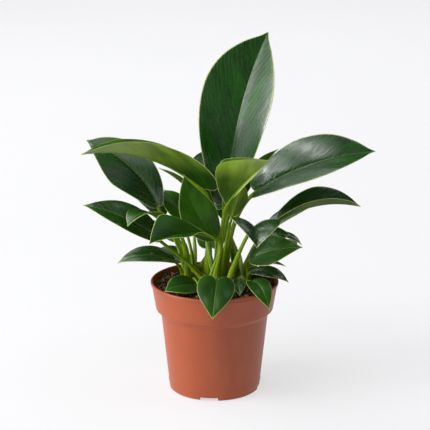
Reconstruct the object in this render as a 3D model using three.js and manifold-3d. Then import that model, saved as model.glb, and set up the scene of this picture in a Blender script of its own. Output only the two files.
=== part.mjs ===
// A potted green princess philodendron: a nursery pot, its soil, seven short stems and their leaves.
// Millimetres, +Z up. The pot stands on z = 0 round the origin and the plant's fuller front faces -Y.

import * as THREE from "three";
import Module from "manifold-3d";
import { mergeVertices } from "three/addons/utils/BufferGeometryUtils.js";

const wasm = await Module();
wasm.setup();

const gap = 0.3;

const pot = {
  height: 105,
  rimRadius: 60,
  lipHeight: 3,
  lipOut: 0.5,
  lipRound: 0.6,
  bandBottomRadius: 55.1,
  bandBottomHeight: 79,
  bandUndercut: 1.2,
  shoulderRadius: 50.3,
  shoulderHeight: 74,
  baseRadius: 42.5,
  baseRound: 1.6,
  ringHeight: 8,
  ringWidth: 2,
  ringOut: 0.4,
  wall: 1.6,
  footWidth: 5,
  padRadius: 22,
  padSlope: 1,
  underside: 3.2,
  floorThickness: 1.8,
  sides: 48,
};

// Gaps in the foot ring, and the drain holes in the floor between the ring and the middle pad.
const notch = {
  count: 4,
  width: 19,
  taper: 1.5,
  turn: -97,
  depth: 12,
};
const drain = {
  count: 8,
  radius: 3.5,
  sides: 12,
};

const soil = {
  top: 100,
  lumps: 0.9,
  levelRadius: 10.5,
  lumpyRadius: 20,
  rings: 9,
  sides: 40,
};

const stem = {
  radius: 3.8,
  top: 110,
  depth: 16,
  crownHeight: 3,
  crownShare: 0.7,
  sides: 12,
};

// Where the stems stand in the soil.
const stemPlaces = {
  near: [6, -21],
  front: [-1, -1],
  left: [-23, 10],
  right: [26, 1],
  middle: [3, 20],
  back_left: [-18, 34],
  back_right: [27, 27],
};

const blade = {
  thickness: 0.8,
  rows: 8,
  cells: 4,
  rowFan: 1.2,
  fold: 15,
};

// A petiole thins towards its blade and runs on under it as a keel. Its bends are shares of its height.
const petiole = {
  steps: 7,
  jointShare: 0.72,
  keelShare: 0.3,
  keelLength: 0.2,
  sunk: 0.45,
  keelSunk: 0.6,
  rise: 0.4,
  lean: 0.05,
  arrive: 0.3,
  thick: 2,
};

// Half a blade's outline from the notch to the tip, as shares of its half width and of its length.
const lanceOutline = [
  [0, 0], [0.15, -0.02], [0.38, -0.01], [0.63, 0.06], [0.84, 0.17], [0.97, 0.31],
  [1, 0.44], [0.92, 0.58], [0.73, 0.71], [0.43, 0.84], [0.12, 0.94], [0, 1],
];
const heartOutline = [
  [0, 0], [0.24, -0.11], [0.52, -0.14], [0.8, -0.08], [0.97, 0.05], [1, 0.2],
  [0.94, 0.36], [0.79, 0.52], [0.56, 0.68], [0.3, 0.83], [0.08, 0.945], [0, 1],
];
const wedgeOutline = [
  [0, 0], [0.1, 0.03], [0.24, 0.07], [0.42, 0.12], [0.63, 0.2], [0.84, 0.3],
  [1, 0.43], [0.84, 0.56], [0.58, 0.7], [0.31, 0.84], [0.09, 0.94], [0, 1],
];

// Each leaf: the stem it grows on and the side that it leaves it by, in degrees from +X; its blade from base
// to tip; the way its upper side faces; its width; how far the midrib arches and sways off its chord; the
// angle that each half folds up by and then curls back by; how far it is towards the heart outline, or the
// wedge outline below 0; belly, under 1 where the widest place sits nearer the tip; the petiole's radius.
const leaves = {
  tall_leaf: {
    stem: "middle", turn: 255, base: [14, 34, 173], tip: [50, 38, 334], face: [-0.47, -0.87, 0.1],
    width: 80, arch: 7, sway: -6.5, fold: 26, curl: 3, heart: 0, belly: 0.6, petiole: 2.7, rows: 12,
  },
  left_arching_leaf: {
    stem: "front", turn: 130, base: [-11, -6, 196], tip: [-121, -30, 233], face: [0.3, 0.25, 1], width: 56,
    arch: 13, sway: 8, fold: 44, curl: 8, heart: 0.6, petiole: 2.7, arrive: 0.2, rows: 12,
  },
  young_folded_leaf: {
    stem: "front", turn: 48, base: [10, -18.5, 182.5], tip: [50, -54, 234], face: [-0.8, 0.1, 0.7],
    width: 58, arch: 3, fold: 86, curl: 4, heart: -1, belly: 0.95, petiole: 2.4, arrive: 0.12,
  },
  right_wide_leaf: {
    stem: "middle", turn: 320, base: [38, 4, 190], tip: [148, -4, 230], face: [-0.3, -0.6, 0.8], width: 55,
    arch: 15, sway: 3, fold: 28, curl: 8, heart: 0, belly: 0.8, petiole: 2.7, rows: 12,
  },
  right_low_leaf: {
    stem: "back_right", turn: 290, base: [60, 12, 160], tip: [138, 22, 170], face: [-0.26, -0.28, 1],
    width: 36, arch: 11, sway: 3, fold: 46, curl: 0, heart: -0.2, belly: 0.82, petiole: 2.2,
  },
  left_dark_leaf: {
    stem: "left", turn: 120, base: [-53.3, 20, 171], tip: [-120, 20, 235], face: [0.02, -0.8, 0.02],
    width: 48, arch: 5, sway: 11, fold: 24, curl: 1, heart: -0.3, belly: 0.75, petiole: 2.2,
  },
  left_low_leaf: {
    stem: "front", turn: 190, base: [-53, 0, 146], tip: [-122, -8, 180], face: [0.3, -0.6, 0.8], width: 32,
    arch: 8, fold: 22, curl: 10, petiole: 2.2, rise: 0.25, lean: 0.12,
  },
  left_small_leaf: {
    stem: "left", turn: 240, base: [-52, -14, 170], tip: [-79, -38, 168], face: [-0.08, 0.12, 1], width: 36,
    arch: 8, fold: 16, curl: 8, heart: 0.3, petiole: 1.8, rise: 0.75, lean: -0.04,
  },
  front_left_leaf: {
    stem: "near", turn: 150, base: [3, -23, 152], tip: [-58, -80, 164], face: [0.2, -0.2, 1], width: 48,
    arch: 8, fold: 40, curl: 14, heart: -1, belly: 0.45, petiole: 2.2,
  },
  centre_upright_leaf: {
    stem: "front", turn: 250, base: [2, -8, 149], tip: [-28, -13, 211], face: [0.3, -0.9, 0.2], width: 36,
    arch: 3, sway: -7, fold: 20, curl: 10, heart: -0.4, petiole: 2.2,
  },
  front_heart_leaf: {
    stem: "near", turn: 250, base: [2, -44, 118.5], tip: [-2, -70, 90], face: [0, -0.9, 0.7], width: 35,
    arch: 4, fold: 14, curl: 20, heart: 1, petiole: 2, rise: 0.7, arrive: 0.5,
  },
  front_rim_leaf: {
    stem: "left", turn: 300, base: [-17, -22, 107], tip: [-46, -42, 107], face: [0.2, -0.6, 1], width: 24,
    arch: 5, fold: 16, curl: 12, petiole: 1.6,
  },
  left_drooping_leaf: {
    stem: "left", turn: 180, base: [-38, 0, 124], tip: [-91, -10, 124], face: [0.2, -0.4, 1], width: 24,
    arch: 9, fold: 18, curl: 12, petiole: 1.8,
  },
  right_heart_leaf: {
    stem: "near", turn: 10, base: [36, -30, 166], tip: [38, -60, 154], face: [0.15, -0.6, 1], width: 50,
    arch: 6, fold: 42, curl: 24, heart: 0.9, petiole: 2.2,
  },
  right_glossy_leaf: {
    stem: "right", turn: 355, base: [32, -12, 129], tip: [81, -30, 146], face: [-0.2, -0.75, 0.8],
    width: 32, arch: 6, fold: 16, curl: 12, heart: -0.5, petiole: 1.8,
  },
  right_thin_leaf: {
    stem: "back_right", turn: 330, base: [50, 20, 141], tip: [82, 10, 136], face: [0, 0, 1], width: 20,
    arch: 5, fold: 20, curl: 10, petiole: 1.6,
  },
  right_flat_leaf: {
    stem: "right", turn: 42, base: [33, 8, 114], tip: [67, 4, 117], face: [0, 0.1, 1], width: 18, arch: 4,
    fold: 16, curl: 8, petiole: 1.6,
  },
  right_arching_leaf: {
    stem: "right", turn: 312, base: [34, -7, 115], tip: [69, -18, 108], face: [0, -0.3, 1], width: 17,
    arch: 6, fold: 16, curl: 12, petiole: 1.6,
  },
  right_dark_leaf: {
    stem: "right", turn: 230, base: [22, -20, 113], tip: [23, -42, 103], face: [0, -1, 0.6], width: 12,
    arch: 2, fold: 14, curl: 12, petiole: 1.3,
  },
  left_hidden_leaf: {
    stem: "left", turn: 60, base: [-31, 24, 158], tip: [-48, 44, 181], face: [0.5, -0.8, 0.5], width: 26,
    arch: 3, fold: 18, curl: 10, petiole: 1.7,
  },
  left_edge_leaf: {
    stem: "middle", turn: 190, base: [-9, 20, 166], tip: [-53, 30, 206], face: [0.6, 0.3, 0.8], width: 24,
    arch: 5, fold: 24, curl: 8, petiole: 1.8,
  },
  young_bright_leaf: {
    stem: "front", turn: 355, base: [16, -5, 168], tip: [27, -10, 200], face: [-0.1, 0.8, 0.3], width: 30,
    arch: 2, fold: 40, curl: 8, heart: -0.4, petiole: 1.8,
  },
  young_pointed_leaf: {
    stem: "middle", turn: 20, base: [26, 30, 174], tip: [60, 36, 223], face: [-0.6, -0.3, 0.6], width: 24,
    arch: 3, fold: 30, curl: 8, petiole: 1.8,
  },
  back_grey_leaf: {
    stem: "back_left", turn: 225, base: [-28, 28, 114], tip: [-56, 34, 124], face: [0.2, -0.5, 1], width: 20,
    arch: 4, fold: 16, curl: 10, petiole: 1.6,
  },
  right_shaded_leaf: {
    stem: "right", turn: 95, base: [41, 4, 139], tip: [71, 4, 148], face: [-0.3, -0.6, 0.8], width: 22,
    arch: 5, fold: 18, curl: 10, petiole: 1.6,
  },
  back_tall_leaf: {
    stem: "back_right", turn: 155, base: [10, 40, 182], tip: [26, 66, 252], face: [0.1, -1, 0.3], width: 40,
    arch: 4, fold: 18, curl: 10, petiole: 2.3,
  },
  back_centre_leaf: {
    stem: "middle", turn: 90, base: [0, 52, 160], tip: [-6, 124, 200], face: [0, -0.5, 1], width: 46,
    arch: 12, fold: 20, curl: 12, petiole: 2.4, rows: 11,
  },
  back_left_leaf: {
    stem: "back_left", turn: 140, base: [-51, 54, 153], tip: [-108, 90, 194], face: [0.3, -0.4, 1],
    width: 36, arch: 9, fold: 20, curl: 12, petiole: 2.2,
  },
  back_right_leaf: {
    stem: "back_right", turn: 15, base: [52, 50, 140], tip: [112, 84, 157], face: [-0.1, -0.1, 1],
    width: 26, arch: 8, fold: 20, curl: 12, petiole: 2.2,
  },
  back_inner_leaf: {
    stem: "back_right", turn: 105, base: [12, 54, 150], tip: [22, 112, 182], face: [-0.2, -0.5, 1],
    width: 32, arch: 8, fold: 20, curl: 12, petiole: 2,
  },
  back_low_left_leaf: {
    stem: "back_left", turn: 100, base: [-38, 58, 126], tip: [-78, 98, 128], face: [0.1, -0.2, 1], width: 28,
    arch: 9, fold: 16, curl: 12, petiole: 1.8,
  },
  back_low_leaf: {
    stem: "back_left", turn: 45, base: [-4, 60, 120], tip: [0, 108, 114], face: [0, 0, 1], width: 30,
    arch: 9, fold: 16, curl: 12, heart: 0.6, petiole: 1.8,
  },
  back_low_right_leaf: {
    stem: "back_right", turn: 55, base: [46, 48, 120], tip: [82, 84, 112], face: [0, 0, 1], width: 26,
    arch: 9, fold: 16, curl: 12, petiole: 1.8,
  },
  right_rim_leaf: {
    stem: "right", turn: 270, base: [34, -25, 112], tip: [50, -52, 93], face: [0, -0.6, 1], width: 20,
    arch: 11, fold: 14, curl: 12, petiole: 1.6,
  },
};

// New leaves that are still rolled up: the stem each one crowns, its tip and its thickest radius.
const spears = {
  front_rolled_leaf: { from: "front", to: [-9, -6, 150], radius: 2.6 },
  left_rolled_leaf: { from: "left", to: [-27, 12, 138], radius: 1.9 },
  right_rolled_leaf: { from: "right", to: [23, -4, 134], radius: 1.9 },
  back_rolled_leaf: { from: "back_left", to: [-20, 40, 142], radius: 2 },
};
const spearSwell = [[0, 0.55], [0.12, 0.8], [0.3, 1], [0.5, 0.95], [0.7, 0.75], [0.88, 0.42], [1, 0.12]];
const spearBow = 5;

function vector(list) {
  return new THREE.Vector3(...list);
}

// The midrib of a blade with its side and face directions at any share of the length.
function midribOf(leaf) {
  const base = vector(leaf.base);
  const tip = vector(leaf.tip);
  const chord = tip.clone().sub(base);
  const side = chord.clone().cross(vector(leaf.face)).normalize();
  const face = side.clone().cross(chord).normalize();
  const middle = base.clone().lerp(tip, 0.5);
  middle.addScaledVector(face, 2 * (leaf.arch ?? 0));
  middle.addScaledVector(side, 2 * (leaf.sway ?? 0));
  const curve = new THREE.QuadraticBezierCurve3(base, middle, tip);
  const length = curve.getLength();
  function frameAt(share) {
    const inside = THREE.MathUtils.clamp(share, 0, 1);
    const along = curve.getTangent(inside);
    const point = curve.getPoint(inside).addScaledVector(along, (share - inside) * length);
    const across = side.clone().addScaledVector(along, -side.dot(along)).normalize();
    const out = across.clone().cross(along).normalize();
    return { point, along, across, out };
  }
  return { frameAt, length };
}

// A point of the blade's sheet from its place in the flat leaf.
function placeOnBlade(leaf, midrib, flatX, flatY) {
  const halfWidth = leaf.width / 2;
  const reach = Math.abs(flatX) / halfWidth;
  const { point, across, out } = midrib.frameAt(flatY / midrib.length);
  const angle = THREE.MathUtils.degToRad((leaf.fold ?? blade.fold) - (leaf.curl ?? 0) * reach);
  point.addScaledVector(across, flatX * Math.cos(angle));
  point.addScaledVector(out, Math.abs(flatX) * Math.sin(angle));
  return point;
}

// A share of the length, moved so that the widest place sits nearer the tip or the base.
function shiftBelly(share, power) {
  return share > 0 ? share ** power : share;
}

// Corners and triangles of a closed sheet: a fan at the notch, strips between the rows, a fan at the tip.
function bladeSolid(leaf, midrib) {
  const rows = leaf.rows ?? blade.rows;
  const across = blade.cells;
  const heart = leaf.heart ?? 0;
  const other = heart > 0 ? heartOutline : wedgeOutline;
  const outline = new THREE.SplineCurve(lanceOutline.map(([x, y], i) => new THREE.Vector2(
    THREE.MathUtils.lerp(x, other[i][0], Math.abs(heart)),
    shiftBelly(THREE.MathUtils.lerp(y, other[i][1], Math.abs(heart)), leaf.belly ?? 1),
  ))).getSpacedPoints(rows);
  const sheet = [placeOnBlade(leaf, midrib, 0, 0)];
  for (let row = 1; row < rows; row += 1) {
    const edge = outline[row];
    const root = midrib.length * (row / rows) ** blade.rowFan;
    for (let column = 0; column <= across; column += 1) {
      const share = (2 * column) / across - 1;
      const flatX = share * edge.x * leaf.width / 2;
      const flatY = THREE.MathUtils.lerp(root, edge.y * midrib.length, Math.abs(share));
      sheet.push(placeOnBlade(leaf, midrib, flatX, flatY));
    }
  }
  sheet.push(placeOnBlade(leaf, midrib, 0, midrib.length));
  const last = sheet.length - 1;
  const cell = (row, column) => 1 + (row - 1) * (across + 1) + column;
  const triangles = [];
  for (let column = 0; column < across; column += 1) {
    triangles.push([0, cell(1, column + 1), cell(1, column)]);
    triangles.push([last, cell(rows - 1, column), cell(rows - 1, column + 1)]);
  }
  for (let row = 1; row < rows - 1; row += 1) {
    for (let column = 0; column < across; column += 1) {
      const [a, b] = [cell(row, column), cell(row, column + 1)];
      const [c, d] = [cell(row + 1, column + 1), cell(row + 1, column)];
      if (column < across / 2) {
        triangles.push([a, b, d], [b, c, d]);
      } else {
        triangles.push([a, b, c], [a, c, d]);
      }
    }
  }
  const rim = [0];
  for (let row = 1; row < rows; row += 1) {
    rim.push(cell(row, 0));
  }
  rim.push(last);
  for (let row = rows - 1; row > 0; row -= 1) {
    rim.push(cell(row, across));
  }
  return thicken(sheet, triangles, rim, blade.thickness);
}

// A sheet made into a closed solid of even thickness, with the same triangles on both faces.
function thicken(sheet, triangles, rim, thickness) {
  const normals = sheet.map(() => new THREE.Vector3());
  for (const [a, b, c] of triangles) {
    const normal = sheet[b].clone().sub(sheet[a]).cross(sheet[c].clone().sub(sheet[a]));
    normals[a].add(normal);
    normals[b].add(normal);
    normals[c].add(normal);
  }
  normals.forEach((normal) => normal.normalize());
  const upper = sheet.map((point, i) => point.clone().addScaledVector(normals[i], thickness / 2));
  const lower = sheet.map((point, i) => point.clone().addScaledVector(normals[i], -thickness / 2));
  const count = sheet.length;
  const faces = [...triangles];
  for (const [a, b, c] of triangles) {
    faces.push([a + count, c + count, b + count]);
  }
  rim.forEach((corner, i) => {
    const next = rim[(i + 1) % rim.length];
    faces.push([corner, next, next + count], [corner, next + count, corner + count]);
  });
  return solidFrom([...upper, ...lower], faces);
}

function solidFrom(points, faces) {
  const vertProperties = new Float32Array(points.flatMap((point) => [point.x, point.y, point.z]));
  const triVerts = new Uint32Array(faces.flat());
  return new wasm.Manifold(new wasm.Mesh({ numProp: 3, vertProperties, triVerts }));
}

// A round rod along points, with its own radius at each of them; its first end is level.
function rodSolid(points, radii, sides) {
  const corners = [];
  const faces = [];
  let across = new THREE.Vector3(0, 1, 0);
  points.forEach((point, i) => {
    const ahead = points[Math.min(i + 1, points.length - 1)];
    const behind = points[Math.max(i - 1, 0)];
    const along = i > 0 ? ahead.clone().sub(behind).normalize() : new THREE.Vector3(0, 0, 1);
    across = across.clone().addScaledVector(along, -across.dot(along)).normalize();
    const third = along.clone().cross(across);
    for (let side = 0; side < sides; side += 1) {
      const turn = (2 * Math.PI * side) / sides;
      corners.push(point.clone()
        .addScaledVector(across, radii[i] * Math.cos(turn))
        .addScaledVector(third, radii[i] * Math.sin(turn)));
    }
    if (i > 0) {
      for (let side = 0; side < sides; side += 1) {
        const next = (side + 1) % sides;
        const [a, b] = [(i - 1) * sides + side, (i - 1) * sides + next];
        const [c, d] = [i * sides + next, i * sides + side];
        faces.push([a, b, c], [a, c, d]);
      }
    }
  });
  const end = (points.length - 1) * sides;
  for (let side = 1; side < sides - 1; side += 1) {
    faces.push([0, side + 1, side], [end, end + side, end + side + 1]);
  }
  return solidFrom(corners, faces);
}

// The petiole stands against its stem, rises and turns to the blade, then runs on as its keel.
function petioleSolid(leaf, midrib) {
  const [stemX, stemY] = stemPlaces[leaf.stem];
  const turn = THREE.MathUtils.degToRad(leaf.turn);
  const outward = new THREE.Vector3(Math.cos(turn), Math.sin(turn), 0);
  const foot = new THREE.Vector3(stemX, stemY, soil.top + gap)
    .addScaledVector(outward, stem.radius + leaf.petiole + gap);
  const start = midrib.frameAt(0);
  const depth = leaf.petiole * petiole.sunk;
  const joint = start.point.clone().addScaledVector(start.out, -depth);
  const distance = foot.distanceTo(joint);
  const rise = foot.clone().add(new THREE.Vector3(0, 0, distance * (leaf.rise ?? petiole.rise)))
    .addScaledVector(outward, distance * (leaf.lean ?? petiole.lean));
  const arrive = joint.clone().addScaledVector(start.along, -distance * (leaf.arrive ?? petiole.arrive));
  const path = new THREE.CubicBezierCurve3(foot, rise, arrive, joint);
  const points = [];
  const radii = [];
  for (let step = 0; step < petiole.steps; step += 1) {
    const share = step / (petiole.steps - 1);
    points.push(path.getPoint(share));
    radii.push(leaf.petiole * THREE.MathUtils.lerp(1, petiole.jointShare, share));
  }
  for (const share of [0.5, 1]) {
    const keel = midrib.frameAt(petiole.keelLength * share);
    const radius = leaf.petiole * THREE.MathUtils.lerp(petiole.jointShare, petiole.keelShare, share);
    points.push(keel.point.addScaledVector(keel.out, -radius * petiole.keelSunk));
    radii.push(radius);
  }
  return rodSolid(points, radii, leaf.petiole > petiole.thick ? 6 : 5);
}

function geometryFrom(solid) {
  const mesh = solid.getMesh();
  const geometry = new THREE.BufferGeometry();
  geometry.setAttribute("position", new THREE.BufferAttribute(new Float32Array(mesh.vertProperties), 3));
  geometry.setIndex(new THREE.BufferAttribute(new Uint32Array(mesh.triVerts), 1));
  geometry.computeVertexNormals();
  return geometry;
}

// A lathe's profile as a solid that stands on its own axis.
function turnedSolid(profile, sides) {
  const points = profile.map(([radius, height]) => new THREE.Vector2(radius, height));
  return solidFromGeometry(new THREE.LatheGeometry(points, sides).rotateX(Math.PI / 2));
}

function solidFromGeometry(geometry) {
  geometry.deleteAttribute("normal");
  geometry.deleteAttribute("uv");
  const merged = mergeVertices(geometry, 1e-4);
  const corners = merged.index.array;
  const kept = [];
  for (let i = 0; i < corners.length; i += 3) {
    const [a, b, c] = [corners[i], corners[i + 1], corners[i + 2]];
    if (a !== b && b !== c && c !== a) {
      kept.push(a, b, c);
    }
  }
  return new wasm.Manifold(new wasm.Mesh({
    numProp: 3,
    vertProperties: new Float32Array(merged.attributes.position.array),
    triVerts: new Uint32Array(kept),
  }));
}

function upright(radius, bottom, top, sides, x, y) {
  const post = new THREE.CylinderGeometry(radius, radius, top - bottom, sides).rotateX(Math.PI / 2);
  return solidFromGeometry(post.translate(x, y, (top + bottom) / 2));
}

function bodyRadius(height) {
  return THREE.MathUtils.lerp(pot.baseRadius, pot.shoulderRadius, height / pot.shoulderHeight);
}

function bandRadius(height) {
  const share = (height - pot.bandBottomHeight) / (pot.height - pot.bandBottomHeight);
  return THREE.MathUtils.lerp(pot.bandBottomRadius, pot.rimRadius - pot.lipOut, share);
}

// The pot's outer face from the middle pad and the foot up, then its inner face down to the floor.
function potSolid() {
  const footInner = pot.baseRadius - pot.footWidth;
  const floor = pot.underside + pot.floorThickness;
  const ringBottom = pot.ringHeight - pot.ringWidth / 2;
  const ringTop = pot.ringHeight + pot.ringWidth / 2;
  const lipBottom = pot.height - pot.lipHeight;
  let solid = turnedSolid([
    [0, 0],
    [pot.padRadius, 0],
    [pot.padRadius + pot.padSlope, pot.underside],
    [footInner, pot.underside],
    [footInner, 0],
    [pot.baseRadius - pot.baseRound, 0],
    [pot.baseRadius - pot.baseRound / 3, pot.baseRound / 3],
    [bodyRadius(pot.baseRound), pot.baseRound],
    [bodyRadius(ringBottom), ringBottom],
    [bodyRadius(pot.ringHeight) + pot.ringOut, pot.ringHeight],
    [bodyRadius(ringTop), ringTop],
    [pot.shoulderRadius, pot.shoulderHeight],
    [pot.bandBottomRadius - pot.lipRound, pot.bandBottomHeight - pot.bandUndercut],
    [pot.bandBottomRadius, pot.bandBottomHeight],
    [bandRadius(lipBottom), lipBottom],
    [pot.rimRadius, lipBottom + pot.lipRound],
    [pot.rimRadius, pot.height - pot.lipRound],
    [pot.rimRadius - pot.lipRound, pot.height],
    [bandRadius(pot.height) - pot.wall, pot.height],
    [pot.bandBottomRadius - pot.wall, pot.bandBottomHeight],
    [pot.shoulderRadius - pot.wall, pot.shoulderHeight],
    [bodyRadius(floor) - pot.wall, floor],
    [pot.padRadius + 2 * pot.padSlope, floor],
    [pot.padRadius - pot.padSlope, pot.floorThickness],
    [0, pot.floorThickness],
  ], pot.sides);
  for (let i = 0; i < notch.count; i += 1) {
    const half = notch.width / 2;
    const slot = new THREE.Shape([
      new THREE.Vector2(-half, -1),
      new THREE.Vector2(half, -1),
      new THREE.Vector2(half - notch.taper, pot.underside),
      new THREE.Vector2(notch.taper - half, pot.underside),
    ]);
    const turn = THREE.MathUtils.degToRad(notch.turn + (360 * i) / notch.count);
    const cutter = new THREE.ExtrudeGeometry(slot, { depth: notch.depth, bevelEnabled: false });
    cutter.rotateX(Math.PI / 2).rotateZ(Math.PI / 2);
    cutter.translate(pot.baseRadius + 3 - notch.depth, 0, 0).rotateZ(turn);
    solid = solid.subtract(solidFromGeometry(cutter));
  }
  const drainRing = (pot.padRadius + footInner) / 2;
  for (let i = 0; i < drain.count; i += 1) {
    const turn = (2 * Math.PI * (i + 0.5)) / drain.count;
    const [x, y] = [drainRing * Math.cos(turn), drainRing * Math.sin(turn)];
    solid = solid.subtract(upright(drain.radius, 0, 2 * floor, drain.sides, x, y));
  }
  return solid;
}

// The soil fills the pot; its top is lumpy, and level where the stems come up.
function soilSolid() {
  const clear = pot.wall + 2 * gap;
  const topRadius = bandRadius(soil.top) - clear - gap;
  const bottom = pot.underside + pot.floorThickness + gap;
  const profile = [
    [0, bottom],
    [pot.baseRadius - clear, bottom],
    [pot.shoulderRadius - clear, pot.shoulderHeight],
    [pot.bandBottomRadius - clear, pot.bandBottomHeight],
  ];
  for (let ring = soil.rings; ring >= 0; ring -= 1) {
    profile.push([(topRadius * ring) / soil.rings, soil.top]);
  }
  const points = profile.map(([radius, height]) => new THREE.Vector2(radius, height));
  const geometry = new THREE.LatheGeometry(points, soil.sides).rotateX(Math.PI / 2);
  const position = geometry.attributes.position;
  for (let i = 0; i < position.count; i += 1) {
    if (position.getZ(i) > pot.bandBottomHeight) {
      position.setZ(i, soil.top + soilLump(position.getX(i), position.getY(i)));
    }
  }
  let solid = solidFromGeometry(geometry);
  const holeBottom = soil.top - stem.depth;
  for (const [x, y] of Object.values(stemPlaces)) {
    const hole = upright(stem.radius + 2 * gap, holeBottom, soil.top + stem.depth, stem.sides, x, y);
    solid = solid.subtract(hole);
  }
  return solid;
}

// Two crossing waves of different lengths, faded out round the stems.
function soilLump(x, y) {
  let nearest = Infinity;
  for (const [stemX, stemY] of Object.values(stemPlaces)) {
    nearest = Math.min(nearest, Math.hypot(x - stemX, y - stemY));
  }
  const level = THREE.MathUtils.smoothstep(nearest, soil.levelRadius, soil.lumpyRadius);
  const wave = Math.sin(x * 0.31 + 1.3) * Math.cos(y * 0.27) + 0.6 * Math.sin(x * 0.13 - y * 0.41);
  return soil.lumps * level * wave;
}

function stemSolid([x, y]) {
  const bottom = soil.top - stem.depth + gap;
  return turnedSolid([
    [0, bottom],
    [stem.radius, bottom],
    [stem.radius, stem.top - stem.crownHeight],
    [stem.radius * stem.crownShare, stem.top - stem.crownHeight / 5],
    [0, stem.top],
  ], stem.sides).translate([x, y, 0]);
}

// A new leaf that is still rolled up, as a slim spear on top of its stem.
function spearSolid({ from, to, radius }) {
  const [x, y] = stemPlaces[from];
  const base = new THREE.Vector3(x, y, stem.top + gap);
  const tip = vector(to);
  const middle = base.clone().lerp(tip, 0.5).add(new THREE.Vector3(0, 0, spearBow));
  const path = new THREE.QuadraticBezierCurve3(base, middle, tip);
  const points = spearSwell.map(([share]) => path.getPoint(share));
  return rodSolid(points, spearSwell.map(([, swell]) => swell * radius), 6);
}

const leafGreen = new THREE.MeshStandardMaterial({ color: "#2c5226", roughness: 0.35, metalness: 0 });
const youngGreen = new THREE.MeshStandardMaterial({ color: "#6d9433", roughness: 0.45, metalness: 0 });
const potPlastic = new THREE.MeshStandardMaterial({ color: "#b0603f", roughness: 0.55, metalness: 0 });
const darkSoil = new THREE.MeshStandardMaterial({ color: "#2a1d14", roughness: 1, metalness: 0 });

const plant = new THREE.Group();

function addPiece(name, solid, material) {
  const mesh = new THREE.Mesh(geometryFrom(solid), material);
  mesh.name = name;
  plant.add(mesh);
}

addPiece("pot", potSolid(), potPlastic);
addPiece("soil", soilSolid(), darkSoil);
for (const [place, centre] of Object.entries(stemPlaces)) {
  addPiece(`${place}_stem`, stemSolid(centre), youngGreen);
}
for (const [name, spear] of Object.entries(spears)) {
  addPiece(name, spearSolid(spear), youngGreen);
}
for (const [name, leaf] of Object.entries(leaves)) {
  const midrib = midribOf(leaf);
  const material = name.startsWith("young") ? youngGreen : leafGreen;
  addPiece(name, bladeSolid(leaf, midrib).add(petioleSolid(leaf, midrib)), material);
}

export default plant;
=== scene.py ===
import math
import random

import bmesh
import bpy
from mathutils import Euler, Matrix, Vector, kdtree, noise
from mathutils.geometry import interpolate_bezier


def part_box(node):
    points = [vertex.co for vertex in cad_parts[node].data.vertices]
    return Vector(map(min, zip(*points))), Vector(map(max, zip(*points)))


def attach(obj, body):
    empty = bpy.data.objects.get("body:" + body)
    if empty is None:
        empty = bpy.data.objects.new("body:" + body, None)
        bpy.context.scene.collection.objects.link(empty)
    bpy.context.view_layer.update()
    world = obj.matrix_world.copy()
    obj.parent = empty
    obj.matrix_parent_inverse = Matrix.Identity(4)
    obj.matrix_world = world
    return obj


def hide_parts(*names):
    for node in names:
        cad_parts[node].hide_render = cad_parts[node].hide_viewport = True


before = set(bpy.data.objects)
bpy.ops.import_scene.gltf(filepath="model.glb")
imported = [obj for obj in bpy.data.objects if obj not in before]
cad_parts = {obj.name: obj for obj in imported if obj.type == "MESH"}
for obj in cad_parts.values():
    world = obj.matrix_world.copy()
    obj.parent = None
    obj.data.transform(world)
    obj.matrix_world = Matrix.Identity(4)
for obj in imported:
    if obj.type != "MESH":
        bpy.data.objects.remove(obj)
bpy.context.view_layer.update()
mm = 0.001
print("frame loaded with", len(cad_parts), "nodes")


# A socket that the maths of a finish is written with.
class Wire:
    def __init__(self, finish, socket):
        self.finish = finish
        self.socket = socket

    def __add__(self, other):
        return self.finish.maths("ADD", self, other)

    def __mul__(self, other):
        return self.finish.maths("MULTIPLY", self, other)

    def __sub__(self, other):
        return self.finish.maths("SUBTRACT", self, other)

    def __rsub__(self, other):
        return self.finish.maths("SUBTRACT", other, self)

    def __abs__(self):
        return self.finish.maths("ABSOLUTE", self)

    __radd__ = __add__
    __rmul__ = __mul__


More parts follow.
